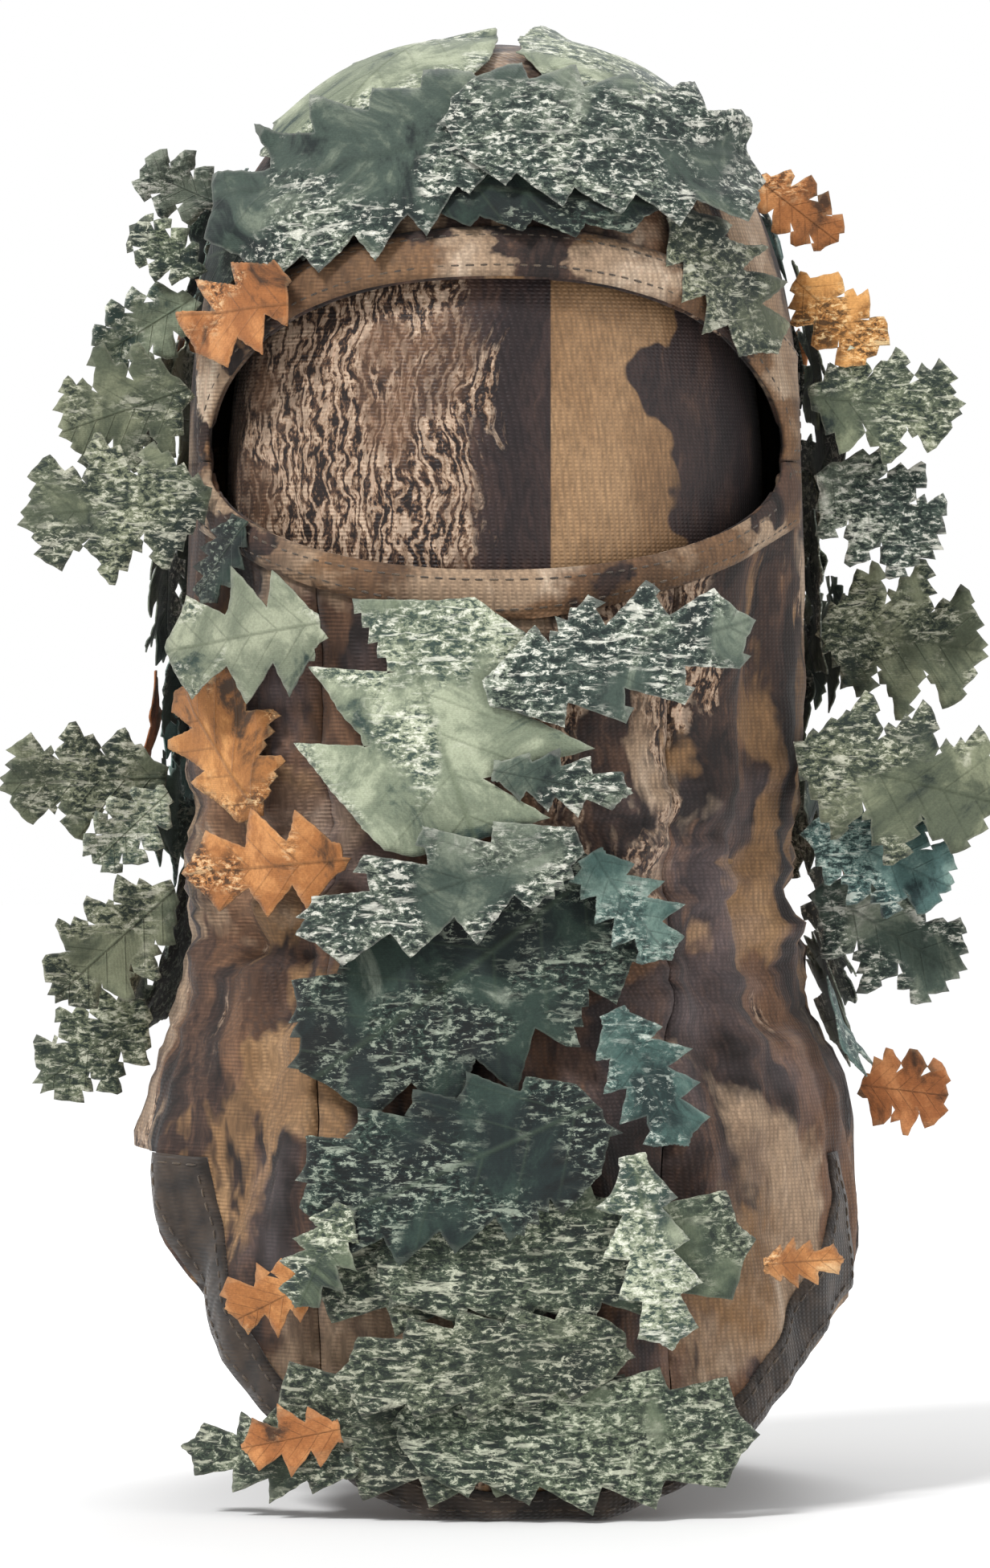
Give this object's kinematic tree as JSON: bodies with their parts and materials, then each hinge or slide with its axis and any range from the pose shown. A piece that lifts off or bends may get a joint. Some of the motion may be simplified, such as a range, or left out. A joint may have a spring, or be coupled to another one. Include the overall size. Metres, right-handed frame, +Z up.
{
  "type": "camouflage hood",
  "caption": "Stretch-cloth camouflage head cover with an eye opening, inner face liner, rounded front and back bibs, and sewn-on cut cloth leaves that lift and flutter.",
  "frame": {"origin": "on the plane of the lowest hem, below the crown, in the middle of the neck opening", "axes": "+Z up to the crown, -Y the way the wearer looks, +X the viewer's right when facing the hood"},
  "size_m": [0.3015, 0.2668, 0.4458],
  "materials": {
    "band_cloth": "printed stretch cloth turned and topstitched",
    "bark_cloth": "printed stretch cloth, matt",
    "binding_cloth": "folded cloth binding, matt",
    "elastic": "woven elastic, matt",
    "leaf_dark": "die-cut printed cloth, matt",
    "leaf_mottled": "die-cut printed cloth, matt",
    "leaf_pale": "die-cut printed cloth, matt",
    "leaf_sage": "die-cut printed cloth, matt",
    "leaf_tan": "die-cut printed cloth, matt",
    "leaf_teal": "die-cut printed cloth, matt",
    "liner_cloth": "smooth printed stretch cloth, slight sheen",
    "tape": "woven tape, matt"
  },
  "bodies": {
    "hood": {"back_bib_leaves": "leaf_sage", "back_crown_leaves": "leaf_pale", "back_head_leaves": "leaf_sage", "back_hem_binding": "binding_cloth", "back_tan_leaves": "leaf_tan", "bib_tan_leaves": "leaf_tan", "bib_wide_leaves": "leaf_sage", "brow_band": "band_cloth", "brow_dark_leaf": "leaf_dark", "brow_elastic": "elastic", "brow_left_leaf": "leaf_mottled", "brow_right_leaf": "leaf_mottled", "crown_leaves": "leaf_pale", "crown_panel": "bark_cloth", "face_liner": "liner_cloth", "front_centre_panel": "bark_cloth", "front_hem_binding": "binding_cloth", "hem_tan_leaf": "leaf_tan", "hem_wide_leaves": "leaf_sage", "left_chin_tan_leaf": "leaf_tan", "left_dark_leaves": "leaf_dark", "left_jaw_tan_leaf": "leaf_tan", "left_mask_leaf": "leaf_sage", "left_side_leaves": "leaf_sage", "left_side_panel": "bark_cloth", "left_temple_tan_leaf": "leaf_tan", "nape_leaves": "leaf_sage", "nape_panel": "bark_cloth", "neck_dark_leaf": "leaf_dark", "neck_teal_leaves": "leaf_teal", "right_side_leaves": "leaf_sage", "right_side_panel": "bark_cloth", "right_temple_leaf": "leaf_sage", "seam_tapes": "tape", "side_tan_leaves": "leaf_tan"},
    "right_temple_spray": {"right_temple_tan_leaf": "leaf_tan"},
    "right_ear_spray": {"right_ear_leaf": "leaf_sage", "right_ear_tan_leaf": "leaf_tan"},
    "right_cheek_spray": {"right_cheek_leaf": "leaf_mottled"},
    "right_jaw_spray": {"right_jaw_leaf": "leaf_sage"},
    "right_neck_spray": {"right_neck_leaf": "leaf_sage", "right_neck_teal_leaf": "leaf_teal"},
    "right_shoulder_spray": {"right_shoulder_leaf": "leaf_mottled"},
    "right_bib_spray": {"right_shoulder_tan_leaf": "leaf_tan"},
    "left_ear_spray": {"left_ear_leaf": "leaf_sage", "left_ear_pale_leaf": "leaf_pale"},
    "left_cheek_spray": {"left_cheek_leaf": "leaf_sage"},
    "left_jaw_spray": {"left_jaw_leaf": "leaf_sage", "left_jaw_pale_leaf": "leaf_pale"},
    "left_shoulder_spray": {"left_shoulder_leaf": "leaf_sage"},
    "left_bib_spray": {"left_bib_leaf": "leaf_sage"},
    "mask": {"mask_band": "band_cloth", "mask_elastic": "elastic", "mask_centre_leaf": "leaf_sage"},
    "mask_flap": {"mask_right_leaves": "leaf_mottled"},
    "chin_flap": {"chin_leaf": "leaf_mottled"},
    "bib_flap": {"bib_dark_leaf": "leaf_dark", "bib_left_leaf": "leaf_sage"},
    "bib_tongue": {"bib_pale_leaf": "leaf_pale"}
  },
  "joints": [
    {"name": "right_temple_flutter", "type": "hinge", "parent": "hood", "child": "right_temple_spray", "pos_m": [0.08043, 0.0004, 0.402], "axis": [0, 0, -1], "range_deg": [-15, 30]},
    {"name": "right_ear_flutter", "type": "hinge", "parent": "hood", "child": "right_ear_spray", "pos_m": [0.09498, -0.0396, 0.334], "axis": [0, 0, -1], "range_deg": [-8, 30]},
    {"name": "right_cheek_flutter", "type": "hinge", "parent": "hood", "child": "right_cheek_spray", "pos_m": [0.09933, -0.0256, 0.312], "axis": [0, 0, -1], "range_deg": [-15, 30]},
    {"name": "right_jaw_flutter", "type": "hinge", "parent": "hood", "child": "right_jaw_spray", "pos_m": [0.1001, 0.0004, 0.264], "axis": [0, 0, -1], "range_deg": [-15, 35]},
    {"name": "right_neck_flutter", "type": "hinge", "parent": "hood", "child": "right_neck_spray", "pos_m": [0.09122, -0.0536, 0.226], "axis": [0, 0, -1], "range_deg": [-15, 30]},
    {"name": "right_shoulder_flutter", "type": "hinge", "parent": "hood", "child": "right_shoulder_spray", "pos_m": [0.09781, -0.0296, 0.184], "axis": [0, 0, -1], "range_deg": [-10, 14]},
    {"name": "right_bib_flutter", "type": "hinge", "parent": "hood", "child": "right_bib_spray", "pos_m": [0.11128, -0.0256, 0.124], "axis": [0, 0, -1], "range_deg": [-15, 30]},
    {"name": "left_ear_flutter", "type": "hinge", "parent": "hood", "child": "left_ear_spray", "pos_m": [-0.09287, -0.0456, 0.336], "axis": [0, 0, 1], "range_deg": [-15, 20]},
    {"name": "left_cheek_flutter", "type": "hinge", "parent": "hood", "child": "left_cheek_spray", "pos_m": [-0.08579, -0.0636, 0.303], "axis": [0, 0, 1], "range_deg": [-15, 35]},
    {"name": "left_jaw_flutter", "type": "hinge", "parent": "hood", "child": "left_jaw_spray", "pos_m": [-0.10009, -0.0146, 0.218], "axis": [0, 0, 1], "range_deg": [-15, 18]},
    {"name": "left_shoulder_flutter", "type": "hinge", "parent": "hood", "child": "left_shoulder_spray", "pos_m": [-0.09781, -0.0296, 0.184], "axis": [0, 0, 1], "range_deg": [-10, 25]},
    {"name": "left_bib_flutter", "type": "hinge", "parent": "hood", "child": "left_bib_spray", "pos_m": [-0.1056, -0.0236, 0.148], "axis": [0, 0, 1], "range_deg": [-15, 30]},
    {"name": "mask_pull", "type": "slide", "parent": "hood", "child": "mask", "axis": [0, 0, -1], "range_m": [0, 0.035], "stiffness_N_per_m": 40, "springref_m": -0.005},
    {"name": "mask_flap_lift", "type": "hinge", "parent": "mask", "child": "mask_flap", "pos_m": [-0.004, -0.12183, 0.244], "axis": [0, 0, -1], "range_deg": [0, 25]},
    {"name": "chin_flap_lift", "type": "hinge", "parent": "mask", "child": "chin_flap", "pos_m": [0.026, -0.11859, 0.202], "axis": [0, 0, 1], "range_deg": [0, 25]},
    {"name": "bib_flap_lift", "type": "hinge", "parent": "hood", "child": "bib_flap", "pos_m": [0.034, -0.12719, 0.116], "axis": [0, 0, 1], "range_deg": [0, 14]},
    {"name": "bib_tongue_lift", "type": "hinge", "parent": "hood", "child": "bib_tongue", "pos_m": [0.04, -0.13074, 0.108], "axis": [-1, 0, 0], "range_deg": [0, 30]}
  ]
}
